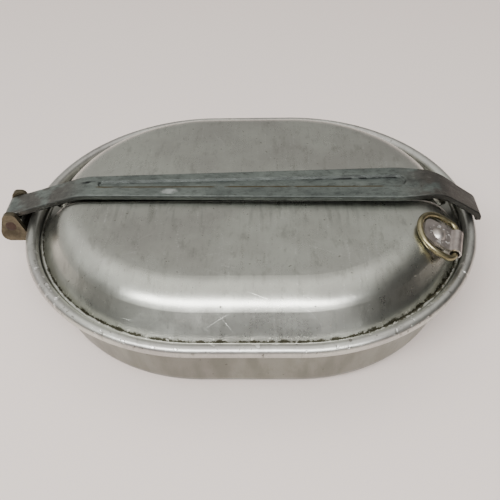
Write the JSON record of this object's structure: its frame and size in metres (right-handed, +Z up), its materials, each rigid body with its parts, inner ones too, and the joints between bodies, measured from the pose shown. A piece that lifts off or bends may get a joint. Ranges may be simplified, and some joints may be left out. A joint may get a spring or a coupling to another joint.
{
  "type": "mess kit",
  "caption": "Closed oval field mess kit: deep pan, domed lid with a central valley, long strap handle folded over the lid and hooked on the rim, small wire ring on the lid.",
  "frame": {"origin": "centre of the pan's flat bottom, where it rests", "axes": "+X along the object's length from the hinge toward the handle's hook, +Z up out of the pan's mouth"},
  "size_m": [0.2309, 0.174, 0.0553],
  "materials": {
    "pan_aluminium": "worn satin, scratched and pitted",
    "lid_aluminium": "worn satin, scratched and pitted",
    "handle_steel": "dull zinc plating, stained",
    "bracket_steel": "dull, browned",
    "pin_steel": "dull, rusted",
    "rivet_aluminium": "worn satin",
    "strap_aluminium": "worn satin",
    "ring_brass": "tarnished"
  },
  "bodies": {
    "pan_body": {"pan": "pan_aluminium", "hinge_bracket": "bracket_steel", "hinge_pin": "pin_steel", "bracket_rivet_1": "rivet_aluminium", "bracket_rivet_2": "rivet_aluminium", "bracket_rivet_3": "rivet_aluminium", "bracket_rivet_4": "rivet_aluminium"},
    "handle_body": {"handle": "handle_steel"},
    "lid_body": {"lid": "lid_aluminium", "ring_strap": "strap_aluminium", "strap_rivet": "rivet_aluminium"},
    "ring_body": {"lid_ring": "ring_brass"}
  },
  "joints": [
    {"name": "handle_fold", "type": "hinge", "parent": "pan_body", "child": "handle_body", "pos_m": [-0.1149, 0, 0.03775], "axis": [0, -1, 0], "range_deg": [0, 172]},
    {"name": "lid_lift", "type": "slide", "parent": "pan_body", "child": "lid_body", "axis": [0, 0, 1], "range_m": [0, 0.0352]},
    {"name": "ring_swing", "type": "hinge", "parent": "lid_body", "child": "ring_body", "pos_m": [0.09196, -0.03126, 0.04393], "axis": [0.2589, 0.9613, 0.0944], "range_deg": [0, 165]}
  ],
  "couplings": [
    {"joint": "lid_lift", "follows": "handle_fold", "m_per_rad": 0.0117}
  ]
}
